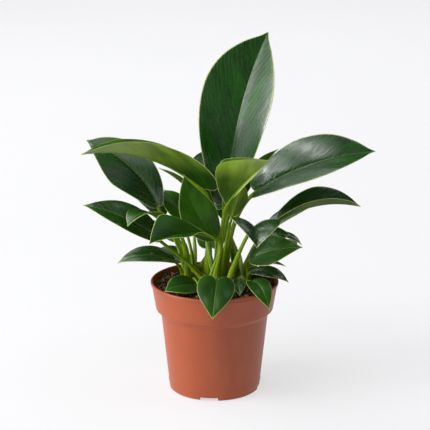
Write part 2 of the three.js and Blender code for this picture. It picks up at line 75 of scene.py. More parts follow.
# A material, or a world, and the nodes that are added to it.
class Finish:
    def __init__(self, name, kind=bpy.data.materials, output="OutputMaterial"):
        self.made = kind.new(name)
        self.made.use_nodes = True
        self.tree = self.made.node_tree
        self.tree.nodes.clear()
        self.output = self.tree.nodes.new("ShaderNode" + output)

    def add(self, kind, settings=None, sockets=None, output=0):
        node = self.tree.nodes.new("ShaderNode" + kind)
        for name, value in (settings or {}).items():
            setattr(node, name, value)
        for name, value in (sockets or {}).items():
            if isinstance(value, Wire):
                self.tree.links.new(value.socket, node.inputs[name])
            else:
                node.inputs[name].default_value = value
        return Wire(self, node.outputs[output])

    def maths(self, operation, *values):
        return self.add("Math", {"operation": operation}, dict(enumerate(values)))

    def ease(self, value, low, high):  # 0 at low and 1 at high, with soft ends
        settings = {"interpolation_type": "SMOOTHSTEP"}
        return self.add("MapRange", settings, {"Value": value, "From Min": low, "From Max": high})

    def mix(self, first, second, factor):
        sockets = {"Factor": factor, 6: paint(first), 7: paint(second)}
        return self.add("Mix", {"data_type": "RGBA"}, sockets, 2)

    def flat(self):
        return self.split(self.add("Attribute", {"attribute_name": "flat"}, output="Vector"))

    def tone(self):
        return self.add("Attribute", {"attribute_name": "tone"}, output="Fac")

    def split(self, vector):
        node = self.add("SeparateXYZ", sockets={0: vector}).socket.node
        return [Wire(self, socket) for socket in node.outputs]

    def join(self, x, y, z=0.0):
        return self.add("CombineXYZ", sockets={0: x, 1: y, 2: z})

    def place(self):
        return self.add("TexCoord", output="Object")

    def noise(self, vector, scale=1, detail=2, roughness=0.5):
        sockets = {"Vector": vector, "Scale": scale, "Detail": detail, "Roughness": roughness}
        return self.add("TexNoise", sockets=sockets)

    def relief(self, height, distance, strength=1.0):
        sockets = {"Height": height, "Distance": distance, "Strength": strength}
        return self.add("Bump", sockets=sockets, output="Normal")

    def shine(self, **sockets):
        named = {name.replace("_", " "): value for name, value in sockets.items()}
        return self.add("BsdfPrincipled", sockets=named)

    def lit(self, share, surface):  # a share of the light comes through
        through = self.add("BsdfTranslucent", sockets={"Color": leafLook["glow"]})
        return self.add("MixShader", sockets={0: share, 1: surface, 2: through})

    def close(self, surface):
        self.tree.links.new(surface.socket, self.output.inputs["Surface"])
        return self.made

    def shown(self, **sockets):
        return self.close(self.shine(**sockets))


def paint(colour):  # a display colour such as "2c5226" as linear light; any other stays as it is
    if not isinstance(colour, str):
        return colour
    channels = [int(colour[i:i + 2], 16) / 255 for i in (0, 2, 4)]
    return (*[c / 12.92 if c <= 0.04045 else ((c + 0.055) / 1.055) ** 2.4 for c in channels], 1.0)


def meshOf(name, bm):
    mesh = bpy.data.meshes.new(name)
    bm.to_mesh(mesh)
    bm.free()
    return mesh


def addObject(name, data):
    thing = bpy.data.objects.new(name, data)
    bpy.context.scene.collection.objects.link(thing)
    return thing


def addPiece(name, bm, materials, nodes):
    for face in bm.faces:
        face.smooth = True
    mesh = meshOf(name, bm)
    for material in materials:
        mesh.materials.append(material)
    piece = addObject(name, mesh)
    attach(piece, "root")
    if nodes:
        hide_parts(*nodes)
    return piece


def weld(bm, verts, distance=0.001 * mm):
    bmesh.ops.remove_doubles(bm, verts=verts, dist=distance)


def roundOff(piece):
    rounding = piece.modifiers.new("rounding", "SUBSURF")
    rounding.levels = rounding.render_levels = 1


def smoothStep(value, low, high):  # as ease, on plain numbers
    share = min(max((value - low) / (high - low), 0), 1)
    return share * share * (3 - 2 * share)


def lerp(first, second, share):
    return first + (second - first) * share


def bowed(base, middle, tip, share):  # along a curve that is drawn towards its middle point
    return base * (1 - share) ** 2 + middle * 2 * share * (1 - share) + tip * share ** 2


# Finishes of the leaves. The flat attribute holds a point's place in the flat leaf: metres to the right of
# the midrib, metres from the notch, and metres from the margin. tone is 0 on old leaves and 1 on new ones.
leafLook = dict(
    upper=("124508", "4f8c06"), under=("1e4008", "a6c844"),   # old and new
    deepest=(0.004, 0.022, 0.002, 1), deepShare=0.6, fresh="2a7010", freshShare=0.26,
    # pale is painted sheen: the far part of a new leaf's underside is made paler where it would reflect the
    # floor and lamps, and the coat there grows over the same distances
    pale="b4c48c", paleSheenShare=0.9, sheenFrom=(35 * mm, 110 * mm),   # from the notch, on the underside
    rib="86a552", ribWidth=0.8 * mm, ribShare=0.34, margin="c2cc74", marginDeep="8ea350",
    marginWidth=0.62 * mm, marginShare=0.8,
    veinAngle=31, veinBend=9, veinStep=5.2 * mm, veinWidth=0.45 * mm, veinShare=0.08, veinDrift=2 * mm,
    streakRoughness=0.45, patchRoughness=0.2, coatRoughness=0.2,
    reliefDepth=0.14 * mm, reliefStrength=0.8,
    glow=(0.26, 0.5, 0.01, 1), oldGlow=0.02, newGlow=0.4,
)
leafPatterns = dict(   # scale across the veins and along them, layer of each half, shift, detail, roughness
    streaks=(900, 80, 1, 0, 4, 0.65),
    patches=(170, 55, 3, 0, 3, 0.6),
    clouds=(60, 26, 5, 0, 2, 0.5),
    drifts=(45, 14, 7, 3, 2, 0.5),
)


def makeLeafFinish(name, roughness, shininess, coat=0):  # coat is 0 for the underside
    look = leafLook
    upper = coat > 0
    finish = Finish(name)
    across, along, margin = finish.flat()
    tone = finish.tone()
    reach = abs(across)
    half = finish.maths("SIGN", across)
    turn = math.radians(look["veinAngle"])
    acrossVeins = along * math.sin(turn) - reach * math.cos(turn) - reach * reach * look["veinBend"]
    alongVeins = along * math.cos(turn) + reach * math.sin(turn)

    def pattern(acrossScale, alongScale, layer, shift, detail, rough):
        place = finish.join(acrossVeins * acrossScale, alongVeins * alongScale, half * layer + shift)
        return finish.noise(place, 1, detail, rough)

    streaks, patches, clouds, drifts = (pattern(*values) for values in leafPatterns.values())
    drift = finish.noise(finish.join(across, along, tone * 40), 60, 1) * look["veinDrift"]
    toVein = finish.maths("PINGPONG", acrossVeins + drift, look["veinStep"] / 2)
    vein = 1 - finish.ease(toVein, 0.0, look["veinWidth"])
    rib = 1 - finish.ease(reach, look["ribWidth"] * 0.3, look["ribWidth"])
    edge = 1 - finish.ease(margin, look["marginWidth"] * 0.3, look["marginWidth"])
    worn = finish.ease(patches * 0.38 + streaks * 0.5 + clouds * 0.12, 0.4, 0.6)
    # the far part of a new leaf's underside, which gets a real coat and a painted pale sheen
    tipSheen = finish.ease(along, *look["sheenFrom"]) * tone

    leafy = finish.mix(*look["upper" if upper else "under"], tone)
    deeper = finish.mix(leafy, look["deepest"], look["deepShare"])
    colour = finish.mix(deeper, leafy, finish.ease(clouds * 0.8 + streaks * 0.2, 0.36, 0.6))
    freshness = finish.ease(drifts * 0.8 + streaks * 0.2, 0.5, 0.66) * look["freshShare"]
    colour = finish.mix(colour, look["fresh"], freshness)
    # painted sheen: the far underside of new leaves is mixed towards pale
    if not upper:
        colour = finish.mix(colour, look["pale"], tipSheen * look["paleSheenShare"])
    colour = finish.mix(colour, look["rib"], vein * look["veinShare"] + rib * look["ribShare"])
    colour = finish.mix(colour, look["margin"], edge * look["marginShare"])
    height = streaks * 0.5 + vein * (-0.5 if upper else 0.6) + patches * 1.8 - rib * (1 if upper else -1)
    rough = roughness + (streaks - 0.5) * look["streakRoughness"] + (patches - 0.5) * look["patchRoughness"]
    shine = finish.shine(
        Base_Color=colour, Roughness=rough, Specular_IOR_Level=shininess,
        Normal=finish.relief(height, look["reliefDepth"], look["reliefStrength"]),
        Coat_Weight=(1 - worn) * (1 - tone) * coat if upper else tipSheen,
        Coat_Roughness=look["coatRoughness"] if upper else roughness,
    )
    return finish.close(finish.lit(look["oldGlow"] + tone * (look["newGlow"] - look["oldGlow"]), shine))


def makeMarginFinish():
    finish = Finish("pale leaf margin")
    across, along, margin = finish.flat()
    mottle = finish.noise(finish.join(across, along), 400, 2)
    colour = finish.mix(leafLook["margin"], leafLook["marginDeep"], mottle)
    return finish.shown(Base_Color=colour, Roughness=0.4 + mottle * 0.1)


# on the stalks, deep is partly painted shade and pale partly painted highlight
stalkLook = dict(low="8cac0c", high="5f8c06", deep="223e04", pale="b2c834", roughness=0.4, shine=0.2,
                 glow=0.12)


def makeStalkFinish():
    look = stalkLook
    finish = Finish("stalk skin")
    around, along, share = finish.flat()
    lines = finish.noise(finish.join(around * 3.2, along * 22), 1, 3)
    blotches = finish.noise(finish.join(around, along * 60), 1.4, 2)
    # the channel along the stalk's upper side, darkened below as painted shade
    channel = 1 - finish.ease(abs(around), 0.25, 0.95)
    colour = finish.mix(look["low"], look["high"], share)
    # dark stripes along the stalk, partly its own colour and partly painted shade, and painted shade in the
    # channel
    colour = finish.mix(colour, look["deep"], finish.ease(lines, 0.45, 0.7) * 0.65 + channel * 0.4)
    # pale blotches, partly the stalk's own tone and partly painted highlight
    colour = finish.mix(colour, look["pale"], finish.ease(blotches, 0.5, 0.72) * 0.5)
    shine = finish.shine(Base_Color=colour, Roughness=look["roughness"] + lines * 0.12,
                         Specular_IOR_Level=look["shine"], Normal=finish.relief(lines, 0.12 * mm, 0.6))
    return finish.close(finish.lit(look["glow"], shine))


stemLook = dict(green="6d8434", bark="6a5232", ring="2e2413")


def makeStemFinish():
    look = stemLook
    finish = Finish("stem bark")
    place = finish.place()
    x, y, z = finish.split(place)
    rings = finish.noise(finish.join(x * 120, y * 120, z * 900))
    blotches = finish.noise(place, 260, 3)
    colour = finish.mix(look["green"], look["bark"], finish.ease(blotches, 0.4, 0.62))
    colour = finish.mix(colour, look["ring"], finish.ease(rings, 0.52, 0.7) * 0.6)
    return finish.shown(Base_Color=colour, Roughness=0.55 + blotches * 0.2,
                        Normal=finish.relief(rings, 0.3 * mm, 0.7))


rolledLook = dict(deep="7ea63a", pale="a4bd58", seam="49701f", seamTwist=30)


def makeRolledFinish():
    look = rolledLook
    finish = Finish("rolled leaf")
    around, along, share = finish.flat()
    seam = finish.maths("PINGPONG", around + along * look["seamTwist"], math.pi)
    line = 1 - finish.ease(seam, 0.08, 0.3)
    lines = finish.noise(finish.join(around * 4, along * 30))
    colour = finish.mix(look["deep"], look["pale"], lines)
    colour = finish.mix(colour, look["seam"], line * 0.7)
    return finish.shown(Base_Color=colour, Roughness=0.36 + lines * 0.12,
                        Normal=finish.relief(lines * 0.4 - line, 0.25 * mm, 0.8))


soilLook = dict(dark="140c06", mid="42301e", light="a8855c", chip="96704a", pale="c8a67c", fibre="b8986e")


def makeSoilFinish():
    look = soilLook
    finish = Finish("potting mix")
    place = finish.place()
    tone = finish.tone()
    clods = finish.noise(place, 320, 4, 0.65)
    grain = finish.noise(place, 1500, 3, 0.7)
    colour = finish.mix(look["dark"], look["mid"], finish.ease(clods, 0.35, 0.65))
    flecks = finish.ease(grain * 0.65 + tone * 0.35, 0.42, 0.66)
    colour = finish.mix(colour, look["light"], flecks * 0.75)
    return finish.shown(Base_Color=colour, Roughness=0.85 + grain * 0.1, Specular_IOR_Level=0.25,
                        Normal=finish.relief(grain + clods * 2, 0.5 * mm, 0.9))


def makeChipFinish():
    look = soilLook
    finish = Finish("bark chip")
    place = finish.place()
    x, y, z = finish.split(place)
    grain = finish.noise(finish.join(x * 500, y * 2600, z * 2600), 1, 3)
    tone = finish.tone()
    colour = finish.mix(look["mid"], look["chip"], tone)
    colour = finish.mix(colour, look["pale"], finish.ease(grain, 0.5, 0.75) * 0.5 * tone)
    return finish.shown(Base_Color=colour, Roughness=0.75 + grain * 0.15,
                        Normal=finish.relief(grain, 0.3 * mm, 0.8))


def makeFibreFinish():
    finish = Finish("coconut fibre")
    around, along, share = finish.flat()
    mottle = finish.noise(finish.join(around, along * 500))
    colour = finish.mix(soilLook["fibre"], soilLook["mid"], mottle)
    return finish.shown(Base_Color=colour, Roughness=0.7 + mottle * 0.2)


potLook = dict(colour="a14821", warm="ad5228", deep="883919", scuff="b4714e", roughness=0.42, shine=0.5)


def makePotFinish():
    look = potLook
    finish = Finish("terracotta-coloured plastic")
    place = finish.place()
    x, y, z = finish.split(place)
    clouds = finish.noise(place, 22, 3)
    flow = finish.noise(finish.join(x * 60, y * 60, z * 12))
    skin = finish.noise(place, 2600, 2, 0.6)
    scuffs = finish.noise(finish.join(x * 220, y * 220, z * 900), 1, 4, 0.7)
    scuff = finish.ease(scuffs, 0.64, 0.74)
    colour = finish.mix(look["colour"], look["warm"], finish.ease(clouds, 0.35, 0.7) * 0.5)
    colour = finish.mix(colour, look["deep"], finish.ease(flow, 0.5, 0.8) * 0.35)
    colour = finish.mix(colour, look["scuff"], scuff * 0.25)
    rough = look["roughness"] + (clouds - 0.5) * 0.1 + scuff * 0.15 + (skin - 0.5) * 0.08
    return finish.shown(Base_Color=colour, Roughness=rough, Specular_IOR_Level=look["shine"],
                        Normal=finish.relief(skin + flow * 0.6, 0.06 * mm, 0.5))


leafUpper = makeLeafFinish("leaf upper side", roughness=0.27, shininess=0.8, coat=0.8)
newLeafUpper = makeLeafFinish("new leaf upper side", roughness=0.42, shininess=0.2, coat=0.3)
leafUnder = makeLeafFinish("leaf underside", roughness=0.55, shininess=0.06)
marginFinish, stalkFinish = makeMarginFinish(), makeStalkFinish()
stemFinish, rolledFinish = makeStemFinish(), makeRolledFinish()
soilFinish, chipFinish, fibreFinish = makeSoilFinish(), makeChipFinish(), makeFibreFinish()
potFinish = makePotFinish()
print("finishes made")


# The pot, turned from the sizes of its CAD node.
potForm = dict(
    steps=128,
    lipHeight=3 * mm, lipOut=0.5 * mm,
    bandBottomRadius=55.1 * mm, bandBottomHeight=79 * mm,
    shoulderRadius=50.3 * mm, shoulderHeight=74 * mm,
    baseRadius=42.5 * mm, baseRound=1.6 * mm,
    ringHeight=8 * mm, ringOut=0.4 * mm,
    wall=1.6 * mm, footWidth=5 * mm, padRadius=22 * mm, padSlope=1 * mm,
    underside=3.2 * mm, floorThickness=1.8 * mm,
    notches=4, notchWidth=19 * mm, notchDepth=12 * mm, notchInset=3 * mm, notchTaper=0.86,
    notchTurn=-97,
    drains=8, drainRadius=3.5 * mm, drainSteps=24,
    softEdge=0.3 * mm,
)
potRadius, potHeight = Vector(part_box("pot")[1]).xz


def bodyRadius(height):
    return lerp(potForm["baseRadius"], potForm["shoulderRadius"], height / potForm["shoulderHeight"])


def bandRadius(height):
    bottom = potForm["bandBottomHeight"]
    top = potRadius - potForm["lipOut"]
    return lerp(potForm["bandBottomRadius"], top, (height - bottom) / (potHeight - bottom))


def spinProfile(bm, profile, steps, centre=(0, 0, 0)):
    middle = Vector(centre)
    verts = [bm.verts.new(middle + Vector((radius, 0, height))) for radius, height in profile]
    edges = [bm.edges.new(pair) for pair in zip(verts, verts[1:])]
    bmesh.ops.spin(bm, geom=verts + edges, axis=(0, 0, 1), cent=middle, steps=steps, angle=math.tau,
                   use_merge=True)
    weld(bm, bm.verts)
    bmesh.ops.recalc_face_normals(bm, faces=bm.faces)


def cutAway(piece, cutterMesh):
    cutter = addObject("cutter", cutterMesh)
    cut = piece.modifiers.new("cut", "BOOLEAN")
    cut.operation = "DIFFERENCE"
    cut.solver = "EXACT"
    cut.object = cutter
    depsgraph = bpy.context.evaluated_depsgraph_get()
    mesh = bpy.data.meshes.new_from_object(piece.evaluated_get(depsgraph))
    piece.modifiers.remove(cut)
    piece.data = mesh
    bpy.data.objects.remove(cutter)


def makePot():
    form = potForm
    ring, footRound, lip = form["ringHeight"], form["baseRound"], potHeight - form["lipHeight"]
    base, pad, shoulder, wall = form["baseRadius"], form["padRadius"], form["shoulderHeight"], form["wall"]
    under, thick, slope = form["underside"], form["floorThickness"], form["padSlope"]
    bandFoot, bandOut = form["bandBottomHeight"], form["bandBottomRadius"]
    footInner, floorTop = base - form["footWidth"], under + thick

    def on(radiusAt, height, out=0):
        return radiusAt(height) + out, height

    bm = bmesh.new()
    spinProfile(bm, [
        (0, 0),
        (pad, 0),
        (pad + slope, under),
        (footInner, under),
        (footInner, 0),
        (base - footRound, 0),
        (base - footRound * 0.45, footRound * 0.2),
        (bodyRadius(footRound) - footRound * 0.08, footRound * 0.6),
        on(bodyRadius, footRound * 1.3),
        on(bodyRadius, ring - 1.4 * mm),
        on(bodyRadius, ring - 0.5 * mm, form["ringOut"] * 0.8),
        on(bodyRadius, ring + 0.5 * mm, form["ringOut"] * 0.8),
        on(bodyRadius, ring + 1.4 * mm),
        on(bodyRadius, 20 * mm),
        on(bodyRadius, 45 * mm),
        on(bodyRadius, shoulder - 1.4 * mm),
        (bodyRadius(shoulder), shoulder + 0.3 * mm),
        (bodyRadius(shoulder) + 1.2 * mm, shoulder + 2.6 * mm),
        (bandOut - 1.3 * mm, bandFoot - 0.9 * mm),
        (bandOut - 0.35 * mm, bandFoot - 0.6 * mm),
        (bandOut, bandFoot),
        on(bandRadius, bandFoot + 2 * mm),
        on(bandRadius, lip - 0.8 * mm),
        on(bandRadius, lip, -0.5 * mm),
        (potRadius - 0.15 * mm, lip + 0.5 * mm),
        (potRadius, lip + 1.1 * mm),
        (potRadius, potHeight - 0.8 * mm),
        (potRadius - 0.25 * mm, potHeight - 0.25 * mm),
        (potRadius - 0.8 * mm, potHeight),
        on(bandRadius, potHeight, 0.4 * mm - wall),
        (bandRadius(potHeight) - wall, potHeight - 0.5 * mm),
        (bandOut - wall, bandFoot),
        (form["shoulderRadius"] - wall, shoulder),
        on(bodyRadius, floorTop, -wall),
        (pad + 2 * slope, floorTop),
        (pad - slope, thick),
        (0, thick),
    ], form["steps"])
    piece = addPiece("pot_body", bm, [potFinish], ["pot"])
    cutter = bmesh.new()
    for i in range(form["notches"]):
        turn = math.radians(form["notchTurn"] + 360 * i / form["notches"])
        box = bmesh.ops.create_cube(cutter, size=1)["verts"]
        bmesh.ops.scale(cutter, verts=box, vec=(form["notchDepth"], form["notchWidth"], 2 * under))
        bmesh.ops.translate(cutter, verts=box, vec=(base - form["notchInset"], 0, 0))
        for vert in box:
            if vert.co.z > 0:
                vert.co.y *= form["notchTaper"]
        bmesh.ops.rotate(cutter, verts=box, matrix=Matrix.Rotation(turn, 3, "Z"))
    for i in range(form["drains"]):
        turn = math.tau * (i + 0.5) / form["drains"]
        spot = Vector((math.cos(turn), math.sin(turn), 0)) * (pad + footInner) / 2
        bmesh.ops.create_cone(cutter, cap_ends=True, segments=form["drainSteps"], depth=30 * mm,
                              radius1=form["drainRadius"], radius2=form["drainRadius"],
                              matrix=Matrix.Translation(spot))
    cutAway(piece, meshOf("cutter", cutter))
    for polygon in piece.data.polygons:
        polygon.use_smooth = True
    softened = piece.modifiers.new("soft edges", "BEVEL")
    softened.width = form["softEdge"]
    softened.segments = 2
    softened.limit_method = "ANGLE"
    softened.angle_limit = math.radians(35)
    piece.modifiers.new("even shading", "WEIGHTED_NORMAL")
    print("pot made")


# The stems are short and knobbly, with a ring where each stalk left them.
stemForm = dict(radius=3.8 * mm, steps=20, rings=5, ringOut=0.25 * mm, crownShare=0.7, sunk=15 * mm,
                ringsFrom=4 * mm, knobs=0.25 * mm, knobLength=3 * mm)
soilTop, gap = 100 * mm, 0.3 * mm
stems = {}
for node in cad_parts:
    if node.endswith("_stem"):
        low, high = (Vector(corner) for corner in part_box(node))
        stems[node.removesuffix("_stem")] = Vector(((low.x + high.x) / 2, (low.y + high.y) / 2, high.z))


def makeStem(name, top):
    form = stemForm
    bottom, radius, inset = soilTop - form["sunk"], form["radius"], form["ringsFrom"]
    profile = [(0, bottom), (radius * 0.8, bottom)]
    for ring in range(form["rings"]):
        height = lerp(soilTop - inset, top.z - inset, ring / (form["rings"] - 1))
        profile += [(radius, height - 1 * mm), (radius + form["ringOut"], height)]
        profile += [(radius, height + 0.6 * mm)]
    profile += [(radius * form["crownShare"], top.z - 0.8 * mm), (0, top.z)]
    bm = bmesh.new()
    spinProfile(bm, profile, form["steps"], (top.x, top.y, 0))
    for vert in bm.verts:
        vert.co += vert.normal * form["knobs"] * noise.noise(vert.co / form["knobLength"])
    addPiece(name + "_stem_grown", bm, [stemFinish], [name + "_stem"])


# New leaves that are still rolled up: the stem under each, its tip in millimetres and its thickest radius.
rolledTable = {
    "front_rolled_leaf": dict(stem="front", tip=(-9, -6, 150), radius=2.6),
    "left_rolled_leaf": dict(stem="left", tip=(-27, 12, 138), radius=1.9),
    "right_rolled_leaf": dict(stem="right", tip=(23, -4, 134), radius=1.9),
    "back_rolled_leaf": dict(stem="back_left", tip=(-20, 40, 142), radius=2),
}
rolledForm = dict(
    bow=5 * mm, steps=22, sides=14,
    swell=[(0, 0.55), (0.12, 0.8), (0.3, 1), (0.5, 0.95), (0.7, 0.75), (0.88, 0.42), (1, 0.08)],
)


def makeRolledLeaf(node, leaf):
    form = rolledForm
    base = stems[leaf["stem"]] + Vector((0, 0, -0.5 * mm))
    tip = Vector(leaf["tip"]) * mm
    middle = (base + tip) / 2 + Vector((0, 0, form["bow"]))
    places, radii = [], []
    for step in range(form["steps"] + 1):
        share = step / form["steps"]
        places.append(bowed(base, middle, tip, share))
        (low, start), (high, end) = next(pair for pair in zip(form["swell"], form["swell"][1:])
                                         if share <= pair[1][0])
        radii.append(leaf["radius"] * mm * lerp(start, end, (share - low) / (high - low)))
    bm = bmesh.new()
    bm.verts.layers.float_vector.new("flat")
    growTube(bm, carryUpper(places, radii, Vector((0, -1, 0))), form["sides"])
    roundOff(addPiece(node + "_grown", bm, [rolledFinish], [node]))


# The soil: a lumpy bed that fills the pot, with crumbs, bark chips and fibres strewn over it.
soilForm = dict(
    around=150, rings=44, edgeDepth=3 * mm,
    lumps=0.9 * mm, levelRadius=10.5 * mm, lumpyRadius=20 * mm,   # as in the CAD
    clods=2.6 * mm, clodLength=5 * mm, grains=0.7 * mm, grainLength=1.6 * mm,
    strewnGap=1.5 * mm, fibreGap=1 * mm,   # left free inside the wall
    crumbs=1300, crumbSize=(0.5 * mm, 2.3 * mm), crumbKnobs=0.4,
    roundFrom=1.3 * mm,   # larger crumbs are rounder
    chips=120, chipSize=(2.5 * mm, 8 * mm), chipWidth=(0.25, 0.55), chipThickness=(0.1, 0.2), chipTilt=0.35,
    fibres=110, fibreLength=(6 * mm, 18 * mm), fibreRadius=0.17 * mm, fibreTaper=0.7,
    fibreBend=1.4, fibreLift=0.5 * mm, fibreArch=1.2 * mm, fibreSteps=6, fibreSides=5,
    seed=11,
)


def soilHeight(x, y):
    form = soilForm
    nearest = min(math.hypot(x - stem.x, y - stem.y) for stem in stems.values())
    level = smoothStep(nearest, form["levelRadius"], form["lumpyRadius"])
    u, v = x / mm, y / mm
    wave = math.sin(u * 0.31 + 1.3) * math.cos(v * 0.27) + 0.6 * math.sin(u * 0.13 - v * 0.41)
    place = Vector((x, y, 0))
    clod = form["clods"] * noise.noise(place / form["clodLength"]) * (0.35 + 0.65 * level)
    grain = form["grains"] * noise.noise(place / form["grainLength"])
    return soilTop + form["lumps"] * level * wave + clod + grain


def makeSoil():
    form = soilForm
    clear = potForm["wall"] + 2 * gap
    topRadius = bandRadius(soilTop) - clear
    bm = bmesh.new()
    bmesh.ops.create_grid(bm, x_segments=form["around"], y_segments=form["rings"], size=1)
    for vert in bm.verts:
        turn, radius = vert.co.x * math.pi, topRadius * (vert.co.y + 1) / 2
        x, y = radius * math.cos(turn), radius * math.sin(turn)
        vert.co = (x, y, soilHeight(x, y))
    weld(bm, bm.verts)
    levels = [
        (topRadius, soilTop - form["edgeDepth"]),
        (potForm["bandBottomRadius"] - clear, potForm["bandBottomHeight"]),
        (potForm["shoulderRadius"] - clear, potForm["shoulderHeight"]),
        (potForm["baseRadius"] - clear, potForm["underside"] + potForm["floorThickness"] + gap),
    ]
    loop = [edge for edge in bm.edges if edge.is_boundary]
    for radius, height in levels:
        made = bmesh.ops.extrude_edge_only(bm, edges=loop)["geom"]
        loop = [item for item in made if isinstance(item, bmesh.types.BMEdge) and item.is_boundary]
        for vert in {vert for edge in loop for vert in edge.verts}:
            vert.co = (*(vert.co.to_2d().normalized() * radius), height)
    bmesh.ops.contextual_create(bm, geom=loop)
    bmesh.ops.recalc_face_normals(bm, faces=bm.faces)
    addPiece("soil_bed", bm, [soilFinish], ["soil"])
    print("soil bed made")


def spotOnSoil(draw):
    radius = (bandRadius(soilTop) - potForm["wall"] - soilForm["strewnGap"]) * math.sqrt(draw.random())
    turn = draw.uniform(0, math.tau)
    x, y = radius * math.cos(turn), radius * math.sin(turn)
    return Vector((x, y, soilHeight(x, y)))


def strewCrumbs():
    form = soilForm
    draw = random.Random(form["seed"])
    bm = bmesh.new()
    tone = bm.verts.layers.float.new("tone")
    for i in range(form["crumbs"]):
        size = lerp(*form["crumbSize"], draw.random() ** 2)
        rounds = 2 if size > form["roundFrom"] else 1
        verts = bmesh.ops.create_icosphere(bm, subdivisions=rounds, radius=size)["verts"]
        spin = Euler([draw.uniform(0, 6) for axis in "xyz"]).to_matrix()
        squash = Vector((1, draw.uniform(0.6, 1), draw.uniform(0.5, 0.9)))
        spot = spotOnSoil(draw) + Vector((0, 0, size * 0.25))
        shade, drift = draw.random(), Vector((i, i * 0.37, 0))
        for vert in verts:
            knob = 1 + form["crumbKnobs"] * noise.noise(vert.co / size * 1.4 + drift)
            vert.co = spot + spin @ (vert.co * squash * knob)
            vert[tone] = shade
    addPiece("soil_crumbs", bm, [soilFinish], [])
    print("crumbs strewn")


def strewChips():
    form = soilForm
    draw = random.Random(form["seed"] + 1)
    bm = bmesh.new()
    tone = bm.verts.layers.float.new("tone")
    for i in range(form["chips"]):
        length = lerp(*form["chipSize"], draw.random() ** 1.6)
        known = set(bm.verts)
        verts = bmesh.ops.create_cube(bm, size=1)["verts"]
        edges = list({edge for vert in verts for edge in vert.link_edges})
        bmesh.ops.subdivide_edges(bm, edges=edges, cuts=2, use_grid_fill=True)
        chip = [vert for vert in bm.verts if vert not in known]
        tilts = [draw.gauss(0, form["chipTilt"]) for axis in "xy"]
        spin = Euler((*tilts, draw.uniform(0, math.tau))).to_matrix()
        sizes = length * Vector((1, draw.uniform(*form["chipWidth"]), draw.uniform(*form["chipThickness"])))
        spot = spotOnSoil(draw) + Vector((0, 0, sizes.z * 0.3))
        shade, drift = draw.uniform(0.2, 1), Vector((i, 0, i * 0.7))
        for vert in chip:
            worn = 1 - 0.35 * max(abs(vert.co.x), abs(vert.co.y)) + 0.3 * noise.noise(vert.co * 2 + drift)
            vert.co = spot + spin @ (vert.co * sizes * worn)
            vert[tone] = shade
    addPiece("soil_chips", bm, [chipFinish], [])
    print("bark chips strewn")


def strewFibres():
    form = soilForm
    draw = random.Random(form["seed"] + 2)
    bm = bmesh.new()
    bm.verts.layers.float_vector.new("flat")
    for i in range(form["fibres"]):
        spot = spotOnSoil(draw)
        turn, length = draw.uniform(0, math.tau), lerp(*form["fibreLength"], draw.random())
        bend = draw.uniform(-form["fibreBend"], form["fibreBend"])
        places, radii = [], []
        for step in range(form["fibreSteps"] + 1):
            share = step / form["fibreSteps"]
            heading = turn + bend * share
            spot = spot + Vector((math.cos(heading), math.sin(heading), 0)) * length / form["fibreSteps"]
            reach = math.hypot(spot.x, spot.y)
            spot *= min(1, (bandRadius(soilTop) - potForm["wall"] - form["fibreGap"]) / reach)
            lift = form["fibreLift"] + form["fibreArch"] * math.sin(share * math.pi) * draw.random()
            spot.z = soilHeight(spot.x, spot.y) + lift
            places.append(spot.copy())
            radii.append(form["fibreRadius"] * (1 - form["fibreTaper"] * abs(2 * share - 1)))
        growTube(bm, carryUpper(places, radii, Vector((0, 0, 1))), form["fibreSides"])
    addPiece("soil_fibres", bm, [fibreFinish], [])
    print("fibres strewn")
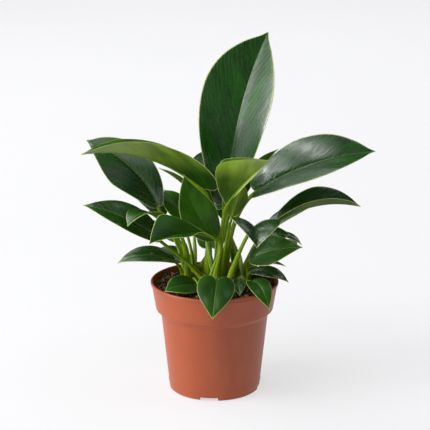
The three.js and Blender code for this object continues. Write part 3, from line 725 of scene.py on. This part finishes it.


# Leaves. Places are millimetres, as on a drawing: the stem and the way that the stalk leaves it, the blade
# from base to tip, the way its upper side faces, its width, how far the midrib arches and sways off its
# chord, the angle that each half folds up by and then curls back by, how far it is towards the heart
# outline (or the wedge outline below 0), and belly, under 1 where the widest place sits nearer the tip.
# stalk is the stalk's radius; rise, lean and arrive bend it up, outward and along the blade, as shares of
# its reach. tone runs from old dark leaves to new ones; a leaf may also be given a lower tone and two
# heights, and below them its tone falls to that lower one as painted shade, where the leaves above shade
# it.
leafDefaults = dict(
    arch=5, sway=0, fold=16, curl=12, heart=0, belly=1, stalk=1.8, rise=0.4, lean=0.05, arrive=0.3,
    tone=0.1, shadeHeights=(206, 230),
)
leafTable = {
    "tall": dict(
        stem="middle", turn=255, base=(14, 34, 173), tip=(50, 38, 334), face=(-0.47, -0.87, 0.1),
        width=80, arch=7, sway=-6.5, fold=26, curl=3, belly=0.6, stalk=2.7, tone=0.02),
    "left_arching": dict(
        stem="front", turn=130, base=(-11, -6, 196), tip=(-121, -30, 233), face=(0.3, 0.25, 1), width=56,
        arch=13, sway=8, fold=44, curl=8, heart=0.6, stalk=2.7, arrive=0.2, tone=0.62, shadedTone=0,
        shadeHeights=(206, 236)),
    "young_folded": dict(
        stem="front", turn=48, base=(10, -18.5, 182.5), tip=(50, -54, 234), face=(-0.8, 0.1, 0.7),
        width=58, arch=3, fold=86, curl=4, heart=-1, belly=0.95, stalk=2.4, arrive=0.12, tone=0.98,
        shadedTone=0.15, shadeHeights=(209, 231)),
    "right_wide": dict(
        stem="middle", turn=320, base=(38, 4, 190), tip=(148, -4, 230), face=(-0.3, -0.6, 0.8), width=55,
        arch=15, sway=3, fold=28, curl=8, belly=0.8, stalk=2.7, tone=0),
    "right_low": dict(
        stem="back_right", turn=290, base=(60, 12, 160), tip=(138, 22, 170), face=(-0.26, -0.28, 1),
        width=36, arch=11, sway=3, fold=46, curl=0, heart=-0.2, belly=0.82, stalk=2.2, tone=0.12),
    "left_dark": dict(
        stem="left", turn=120, base=(-53.3, 20, 171), tip=(-120, 20, 235), face=(0.02, -0.8, 0.02),
        width=48, sway=11, fold=24, curl=1, heart=-0.3, belly=0.75, stalk=2.2, tone=0),
    "left_low": dict(
        stem="front", turn=190, base=(-53, 0, 146), tip=(-122, -8, 180), face=(0.3, -0.6, 0.8), width=32,
        arch=8, fold=22, curl=10, stalk=2.2, rise=0.25, lean=0.12),
    "left_small": dict(
        stem="left", turn=240, base=(-52, -14, 170), tip=(-79, -38, 168), face=(-0.08, 0.12, 1),
        width=36, arch=8, curl=8, heart=0.3, rise=0.75, lean=-0.04, tone=0.15),
    "front_left": dict(
        stem="near", turn=150, base=(3, -23, 152), tip=(-58, -80, 164), face=(0.2, -0.2, 1), width=48,
        arch=8, fold=40, curl=14, heart=-1, belly=0.45, stalk=2.2, tone=0.2),
    "centre_upright": dict(
        stem="front", turn=250, base=(2, -8, 149), tip=(-28, -13, 211), face=(0.3, -0.9, 0.2), width=36,
        arch=3, sway=-7, fold=20, curl=10, heart=-0.4, stalk=2.2, tone=0.6, shadedTone=0.5,
        shadeHeights=(150, 210)),
    "front_heart": dict(
        stem="near", turn=250, base=(2, -44, 118.5), tip=(-2, -70, 90), face=(0, -0.9, 0.7), width=35,
        arch=4, fold=14, curl=20, heart=1, stalk=2, rise=0.7, arrive=0.5, tone=0.22),
    "front_rim": dict(
        stem="left", turn=300, base=(-17, -22, 107), tip=(-46, -42, 107), face=(0.2, -0.6, 1), width=24,
        stalk=1.6, tone=0.24),
    "left_drooping": dict(
        stem="left", turn=180, base=(-38, 0, 124), tip=(-91, -10, 124), face=(0.2, -0.4, 1), width=24,
        arch=9, fold=18, tone=0.05),
    "right_heart": dict(
        stem="near", turn=10, base=(36, -30, 166), tip=(38, -60, 154), face=(0.15, -0.6, 1), width=50,
        arch=6, fold=42, curl=24, heart=0.9, stalk=2.2, tone=0),
    "right_glossy": dict(
        stem="right", turn=355, base=(32, -12, 129), tip=(81, -30, 146), face=(-0.2, -0.75, 0.8),
        width=32, arch=6, heart=-0.5, tone=0.2),
    "right_thin": dict(
        stem="back_right", turn=330, base=(50, 20, 141), tip=(82, 10, 136), face=(0, 0, 1), width=20,
        fold=20, curl=10, stalk=1.6),
    "right_flat": dict(
        stem="right", turn=42, base=(33, 8, 114), tip=(67, 4, 117), face=(0, 0.1, 1), width=18, arch=4,
        curl=8, stalk=1.6, tone=0.05),
    "right_arching": dict(
        stem="right", turn=312, base=(34, -7, 115), tip=(69, -18, 108), face=(0, -0.3, 1), width=17,
        arch=6, stalk=1.6, tone=0.05),
    "right_dark": dict(
        stem="right", turn=230, base=(22, -20, 113), tip=(23, -42, 103), face=(0, -1, 0.6), width=12,
        arch=2, fold=14, stalk=1.3),
    "left_hidden": dict(
        stem="left", turn=60, base=(-31, 24, 158), tip=(-48, 44, 181), face=(0.5, -0.8, 0.5), width=26,
        arch=3, fold=18, curl=10, stalk=1.7, tone=0.45),
    "left_edge": dict(
        stem="middle", turn=190, base=(-9, 20, 166), tip=(-53, 30, 206), face=(0.6, 0.3, 0.8), width=24,
        fold=24, curl=8, tone=0.4),
    "young_bright": dict(
        stem="front", turn=355, base=(16, -5, 168), tip=(27, -10, 200), face=(-0.1, 0.8, 0.3), width=30,
        arch=2, fold=40, curl=8, heart=-0.4, tone=0.9, shadedTone=0.4, shadeHeights=(168, 200)),
    "young_pointed": dict(
        stem="middle", turn=20, base=(26, 30, 174), tip=(60, 36, 223), face=(-0.6, -0.3, 0.6), width=24,
        arch=3, fold=30, curl=8, tone=0.8),
    "back_grey": dict(
        stem="back_left", turn=225, base=(-28, 28, 114), tip=(-56, 34, 124), face=(0.2, -0.5, 1),
        width=20, arch=4, curl=10, stalk=1.6, tone=0.05),
    "right_shaded": dict(
        stem="right", turn=95, base=(41, 4, 139), tip=(71, 4, 148), face=(-0.3, -0.6, 0.8), width=22,
        fold=18, curl=10, stalk=1.6, tone=0.15),
    "back_tall": dict(
        stem="back_right", turn=155, base=(10, 40, 182), tip=(26, 66, 252), face=(0.1, -1, 0.3),
        width=40, arch=4, fold=18, curl=10, stalk=2.3, tone=0.15),
    "back_centre": dict(
        stem="middle", turn=90, base=(0, 52, 160), tip=(-6, 124, 200), face=(0, -0.5, 1), width=46,
        arch=12, fold=20, stalk=2.4),
    "back_left": dict(
        stem="back_left", turn=140, base=(-51, 54, 153), tip=(-108, 90, 194), face=(0.3, -0.4, 1),
        width=36, arch=9, fold=20, stalk=2.2),
    "back_right": dict(
        stem="back_right", turn=15, base=(52, 50, 140), tip=(112, 84, 157), face=(-0.1, -0.1, 1),
        width=26, arch=8, fold=20, stalk=2.2, tone=0.15),
    "back_inner": dict(
        stem="back_right", turn=105, base=(12, 54, 150), tip=(22, 112, 182), face=(-0.2, -0.5, 1),
        width=32, arch=8, fold=20, stalk=2, tone=0.25),
    "back_low_left": dict(
        stem="back_left", turn=100, base=(-38, 58, 126), tip=(-78, 98, 128), face=(0.1, -0.2, 1),
        width=28, arch=9),
    "back_low": dict(
        stem="back_left", turn=45, base=(-4, 60, 120), tip=(0, 108, 114), face=(0, 0, 1), width=30,
        arch=9, heart=0.6, tone=0.3),
    "back_low_right": dict(
        stem="back_right", turn=55, base=(46, 48, 120), tip=(82, 84, 112), face=(0, 0, 1), width=26,
        arch=9),
    "right_rim": dict(
        stem="right", turn=270, base=(34, -25, 112), tip=(50, -52, 93), face=(0, -0.6, 1), width=20,
        arch=11, fold=14, stalk=1.6, tone=0.2),
}

# Half an outline from the notch to the tip, in hundredths of the half width and of the length.
outlines = {
    "lance": [(0, 0), (15, -2), (38, -1), (63, 6), (84, 17), (97, 31),
              (100, 44), (92, 58), (73, 71), (43, 84), (12, 94), (0, 100)],
    "heart": [(0, 0), (24, -11), (52, -14), (80, -8), (97, 5), (100, 20),
              (94, 36), (79, 52), (56, 68), (30, 83), (8, 94.5), (0, 100)],
    "wedge": [(0, 0), (10, 3), (24, 7), (42, 12), (63, 20), (84, 30),
              (100, 43), (84, 56), (58, 70), (31, 84), (9, 94), (0, 100)],
}

bladeForm = dict(
    columns=24, rows=40,   # cells of the sheet
    outlineSteps=24,   # between two corners of the outline
    pathSteps=200,   # to measure the midrib
    columnFan=1.3, rowFan=1.2,  # cells lie closer at the midrib and at the base
    thickness=0.75 * mm, marginThickness=0.45 * mm, marginReach=3 * mm, weldUnder=0.02 * mm,
    grooveDepth=0.5 * mm, grooveWidth=1.3 * mm,
    swell=0.45 * mm, swellLength=16 * mm,   # soft unevenness between the veins
    wave=1.44 * mm, waveLength=34 * mm,   # the margin's gentle wave
)

stalkForm = dict(
    sides=12, steps=22, keelSteps=14,
    jointShare=0.72, keelShare=0.3, keelEnd=0.2,   # thickness at the joint and under the blade
    ribEnd=0.94, ribShare=0.09,   # the keel runs on as a rib to here
    sunk=0.45, keelSunk=0.9, sinkEnd=0.12,   # how deep the centre lies under the blade
    rooted=1.6 * mm, channel=0.16,
    sheath=0.9, sheathEnd=0.55,   # the foot is a sheath, this much thicker, up to here
)


class Midrib:
    def __init__(self, leaf):
        self.base, self.tip, facing = (Vector(leaf[name]) for name in ("base", "tip", "face"))
        self.base, self.tip = self.base * mm, self.tip * mm
        chord = self.tip - self.base
        self.side = chord.cross(facing).normalized()
        face = self.side.cross(chord).normalized()
        bow = face * leaf["arch"] + self.side * leaf["sway"]
        self.middle = (self.base + self.tip) / 2 + 2 * mm * bow
        steps = bladeForm["pathSteps"]
        path = [self.point(i / steps) for i in range(steps + 1)]
        self.length = sum((b - a).length for a, b in zip(path, path[1:]))

    def point(self, share):
        return bowed(self.base, self.middle, self.tip, share)

    # The place at a share of the length, with the midrib's direction, its right side and its upper side.
    def at(self, share):
        inside = min(max(share, 0), 1)
        along = ((self.middle - self.base) * (1 - inside) + (self.tip - self.middle) * inside).normalized()
        point = self.point(inside) + along * (share - inside) * self.length
        across = (self.side - along * self.side.dot(along)).normalized()
        return point, along, across, across.cross(along).normalized()


class Outline:
    def __init__(self, leaf):
        heart = leaf["heart"]
        other = outlines["heart" if heart > 0 else "wedge"]
        corners = []
        for first, second in zip(outlines["lance"], other):
            corner = Vector(first).lerp(Vector(second), abs(heart)) / 100
            if corner.y > 0:
                corner.y **= leaf["belly"]
            corners.append(corner)
        self.points = corners[:1]
        for i in range(len(corners) - 1):
            before, start, end = corners[max(i - 1, 0)], corners[i], corners[i + 1]
            after = corners[min(i + 2, len(corners) - 1)]
            handles = start + (end - before) / 6, end - (after - start) / 6
            curve = interpolate_bezier(start, *handles, end, bladeForm["outlineSteps"])
            self.points += [p.to_2d() for p in curve][1:]
        self.walked = [0]
        for a, b in zip(self.points, self.points[1:]):
            self.walked.append(self.walked[-1] + (b - a).length)

    def at(self, share):
        goal = share * self.walked[-1]
        i = 0
        while i < len(self.walked) - 2 and self.walked[i + 1] < goal:
            i += 1
        step = self.walked[i + 1] - self.walked[i]
        return self.points[i].lerp(self.points[i + 1], (goal - self.walked[i]) / step)


def growBlade(bm, leaf, midrib, seed):
    flat = bm.verts.layers.float_vector["flat"]
    form = bladeForm
    halfWidth = leaf["width"] * mm / 2
    outline = Outline(leaf)
    edge = kdtree.KDTree(len(outline.points))
    for i, point in enumerate(outline.points):
        edge.insert((point.x * halfWidth, point.y * midrib.length, 0), i)
    edge.balance()
    rows = [outline.at(row / form["rows"]) for row in range(form["rows"] + 1)]
    bmesh.ops.create_grid(bm, x_segments=form["columns"], y_segments=form["rows"], size=1)
    shift = Vector((seed * 7.3, seed * 3.1, 0))   # each leaf's own part of the noise
    for vert in bm.verts:
        reach = abs(vert.co.x) ** form["columnFan"]
        share = math.copysign(reach, vert.co.x)
        rowShare = (vert.co.y + 1) / 2
        rim = rows[round(rowShare * form["rows"])]
        flatX = share * rim.x * halfWidth
        root = midrib.length * rowShare ** form["rowFan"]
        flatY = lerp(root, rim.y * midrib.length, reach)
        margin = edge.find((abs(flatX), flatY, 0))[2] if reach < 1 else 0
        point, along, across, out = midrib.at(flatY / midrib.length)
        width = abs(flatX) / halfWidth
        angle = math.radians(leaf["fold"] - leaf["curl"] * width)
        tipFade = 1 - max(flatY / midrib.length, 0) ** 3
        groove = form["grooveDepth"] * math.exp(-(flatX / form["grooveWidth"]) ** 2) * tipFade
        place = Vector((flatX, flatY, 0)) + shift
        swell = form["swell"] * noise.noise(place / form["swellLength"]) * min(width * 3, 1)
        wave = form["wave"] * noise.noise(place / form["waveLength"] + shift) * width ** 2
        vert.co = point + across * flatX * math.cos(angle) + out * abs(flatX) * math.sin(angle)
        vert.co += out * (swell + wave - groove) * tipFade
        vert[flat] = (flatX, flatY, margin)
    weld(bm, bm.verts, form["weldUnder"])
    bm.normal_update()
    copy = bmesh.ops.duplicate(bm, geom=bm.verts[:] + bm.edges[:] + bm.faces[:])
    lowerFaces = [item for item in copy["geom"] if isinstance(item, bmesh.types.BMFace)]
    lower = {vert for face in lowerFaces for vert in face.verts}
    for vert in bm.verts:
        thick = lerp(form["marginThickness"], form["thickness"], min(vert[flat].z / form["marginReach"], 1))
        vert.co += vert.normal * (-thick if vert in lower else thick) / 2
    bmesh.ops.reverse_faces(bm, faces=lowerFaces)
    for face in lowerFaces:
        face.material_index = 1
    made = bmesh.ops.bridge_loops(bm, edges=[e for e in bm.edges if e.is_boundary])
    for face in made["faces"]:
        face.material_index = 2


channelWidth = 0.55   # radians around the stalk


# A tube through stations of (place, direction, upper side, radius), closed at both ends.
def growTube(bm, stations, sides, channel=0, materialIndex=0):
    flat = bm.verts.layers.float_vector["flat"]
    known = set(bm.verts)
    bmesh.ops.create_grid(bm, x_segments=sides, y_segments=len(stations) + 1, size=1)
    new = [vert for vert in bm.verts if vert not in known]
    walked = [0]
    for a, b in zip(stations, stations[1:]):
        walked.append(walked[-1] + (b[0] - a[0]).length)
    for vert in new:
        row = round((vert.co.y + 1) / 2 * (len(stations) + 1)) - 1
        station = min(max(row, 0), len(stations) - 1)
        place, along, upper, radius = stations[station]
        turn = vert.co.x * math.pi
        if row != station:
            radius = 0
        dent = 1 - channel * math.exp(-(turn / channelWidth) ** 2)
        across = along.cross(upper)
        vert.co = place + (upper * math.cos(turn) * dent + across * math.sin(turn)) * radius
        vert[flat] = (turn, walked[station], walked[station] / walked[-1])
    for face in {face for vert in new for face in vert.link_faces}:
        face.material_index = materialIndex
    weld(bm, new)


# Directions that turn as little as they can from the last station back to the first.
def carryUpper(places, radii, lastUpper):
    stations = []
    upper = lastUpper
    for i in reversed(range(len(places))):
        along = (places[min(i + 1, len(places) - 1)] - places[max(i - 1, 0)]).normalized()
        upper = (upper - along * upper.dot(along)).normalized()
        stations.insert(0, (places[i], along, upper, radii[i]))
    return stations


def growStalk(bm, leaf, midrib):
    form = stalkForm
    radius = leaf["stalk"] * mm
    stem = stems[leaf["stem"]]
    turn = math.radians(leaf["turn"])
    outward = Vector((math.cos(turn), math.sin(turn), 0))
    foot = Vector((stem.x, stem.y, soilTop + gap)) + outward * (stemForm["radius"] + radius + gap)
    place, along, across, out = midrib.at(0)
    joint = place - out * radius * form["sunk"]
    distance = (joint - foot).length
    rise = foot + Vector((0, 0, distance * leaf["rise"])) + outward * distance * leaf["lean"]
    arrive = joint - along * distance * leaf["arrive"]
    places = [foot - Vector((0, 0, form["rooted"]))]
    places += interpolate_bezier(foot, rise, arrive, joint, form["steps"])
    radii = []
    for i in range(len(places)):
        share = i / form["steps"]
        swell = form["sheath"] * (1 - smoothStep(share, 0, form["sheathEnd"]))
        radii.append(radius * (lerp(1, form["jointShare"], share) + swell))
    stations = carryUpper(places, radii, out)
    for step in range(1, form["keelSteps"] + 1):
        share = form["ribEnd"] * step / form["keelSteps"]
        place, along, across, out = midrib.at(share)
        thick = radius * lerp(form["jointShare"], form["keelShare"], min(share / form["keelEnd"], 1))
        if share > form["keelEnd"]:
            rest = (share - form["keelEnd"]) / (form["ribEnd"] - form["keelEnd"])
            thick = radius * lerp(form["keelShare"], form["ribShare"], rest)
        sunk = lerp(form["sunk"] / form["jointShare"], form["keelSunk"], min(share / form["sinkEnd"], 1))
        stations.append((place - out * thick * sunk, along, out, thick))
    growTube(bm, stations, form["sides"], form["channel"], 3)


glossyBelow = 0.2   # the tone that parts the glossy old leaves from the softer new ones


def growLeaf(name, leaf, seed):
    bm = bmesh.new()
    bm.verts.layers.float_vector.new("flat")
    tone = bm.verts.layers.float.new("tone")
    midrib = Midrib(leaf)
    growBlade(bm, leaf, midrib, seed)
    growStalk(bm, leaf, midrib)
    # painted shade: lower down the leaf, where leaves above shade it, the tone falls to the lower tone,
    # which darkens its colour and lets less light through
    shadedTone, (low, high) = leaf.get("shadedTone", leaf["tone"]), leaf["shadeHeights"]
    for vert in bm.verts:
        vert[tone] = lerp(shadedTone, leaf["tone"], smoothStep(vert.co.z, low * mm, high * mm))
    upper = leafUpper if leaf["tone"] < glossyBelow else newLeafUpper
    finishes = [upper, leafUnder, marginFinish, stalkFinish]
    roundOff(addPiece(name + "_leaf_grown", bm, finishes, [name + "_leaf"]))


# The stage: a pale floor, soft lights and a camera where the photograph was taken from.
stageForm = dict(
    floorRadius=6.0, floorCentre=(0, 5.1, 0), floorColour="98989a", floorPale="9c9c9e", floorGlow=0.62,
    glowColour=(0.99, 0.99, 1, 1),
    cameraPlace=(0.0004, -1.5, 0.5905), cameraPitch=-15.72, lens=140.57,
    ambient="dfe6f0", ambientStrength=0.05, backdrop="f4f5f7",
    sunFrom=(-0.45, 0.2, 0.87), sunAngle=50, sunStrength=0.8,
    softboxes=dict(   # place, width and height, power, aim
        key=((-2.0, -0.7, 0.75), (2.0, 1.5), 31),
        strip=((-1.97, -0.56, 0.5), (0.5, 1.1), 14, (0, 0, 0.2)),
        high=((-0.91, -0.91, 1.86), (2.1, 0.6), 20, (0.06, 0, 0.2)),
        front=((0.74, -2.04, 1.21), (1.6, 1.2), 2.1, (0, 0, 0.2)),
        top=((0.76, -0.28, 1.92), (0.8, 0.8), 5, (0, 0, 0.2)),
        side=((-1.7, 1.2, 0.75), (1.2, 1.4), 5),
        back=((-1.25, 1.25, 1.3), (1.3, 1.1), 4.5),
        rim=((1.2, 1.0, 1.8), (1.2, 0.9), 4.5),
        wash=((0, 1.6, 2.4), (3, 1.5), 42, (0, 4.6, 0.2)),
    ),
)


def addSoftbox(name, place, size, power, aim=(0, 0, 0.16)):
    lamp = bpy.data.lights.new(name, "AREA")
    lamp.shape = "RECTANGLE"
    lamp.size, lamp.size_y = size
    lamp.energy = power
    softbox = addObject(name, lamp)
    softbox.location = place
    softbox.visible_camera = False
    softbox.rotation_euler = (Vector(aim) - Vector(place)).to_track_quat("-Z", "Y").to_euler()


def makeStage():
    form = stageForm
    bm = bmesh.new()
    bmesh.ops.create_circle(bm, cap_ends=True, segments=96, radius=form["floorRadius"],
                            matrix=Matrix.Translation(form["floorCentre"]))
    mesh = meshOf("floor", bm)
    finish = Finish("pale floor")
    mottle = finish.noise(finish.place(), 3, 2)
    colour = finish.mix(form["floorColour"], form["floorPale"], mottle)
    mesh.materials.append(finish.shown(
        Base_Color=colour, Roughness=0.75 + mottle * 0.1, Specular_IOR_Level=0.1,
        Emission_Color=form["glowColour"], Emission_Strength=form["floorGlow"]))
    floor = addObject("floor", mesh)

    studio = Finish("studio", bpy.data.worlds, "OutputWorld")
    light = {"Color": paint(form["ambient"]), "Strength": form["ambientStrength"]}
    ambient = studio.add("Background", sockets=light)
    backdrop = studio.add("Background", sockets={"Color": paint(form["backdrop"])})
    seen = studio.add("LightPath", output="Is Camera Ray")
    either = studio.add("MixShader", sockets={0: seen, 1: ambient, 2: backdrop})
    bpy.context.scene.world = studio.close(either)

    lamp = bpy.data.lights.new("sun", "SUN")
    lamp.energy = form["sunStrength"]
    lamp.angle = math.radians(form["sunAngle"])
    sun = addObject("sun", lamp)
    sun.rotation_euler = Vector(form["sunFrom"]).to_track_quat("Z", "Y").to_euler()
    for name, settings in form["softboxes"].items():
        addSoftbox(name, *settings)

    camera = addObject("camera", bpy.data.cameras.new("camera"))
    camera.data.lens = form["lens"]
    camera.location = form["cameraPlace"]
    camera.rotation_euler = (math.radians(90 + form["cameraPitch"]), 0, 0)
    bpy.context.scene.camera = camera
    bpy.context.scene.view_settings.view_transform = "Standard"
    print("stage set")


makePot()
makeSoil()
strewCrumbs()
strewChips()
strewFibres()
for name, top in stems.items():
    makeStem(name, top)
for node, leaf in rolledTable.items():
    makeRolledLeaf(node, leaf)
print("stems and rolled leaves made")
for seed, (name, leaf) in enumerate(leafTable.items()):
    growLeaf(name, leafDefaults | leaf, seed)
print("leaves grown")
makeStage()
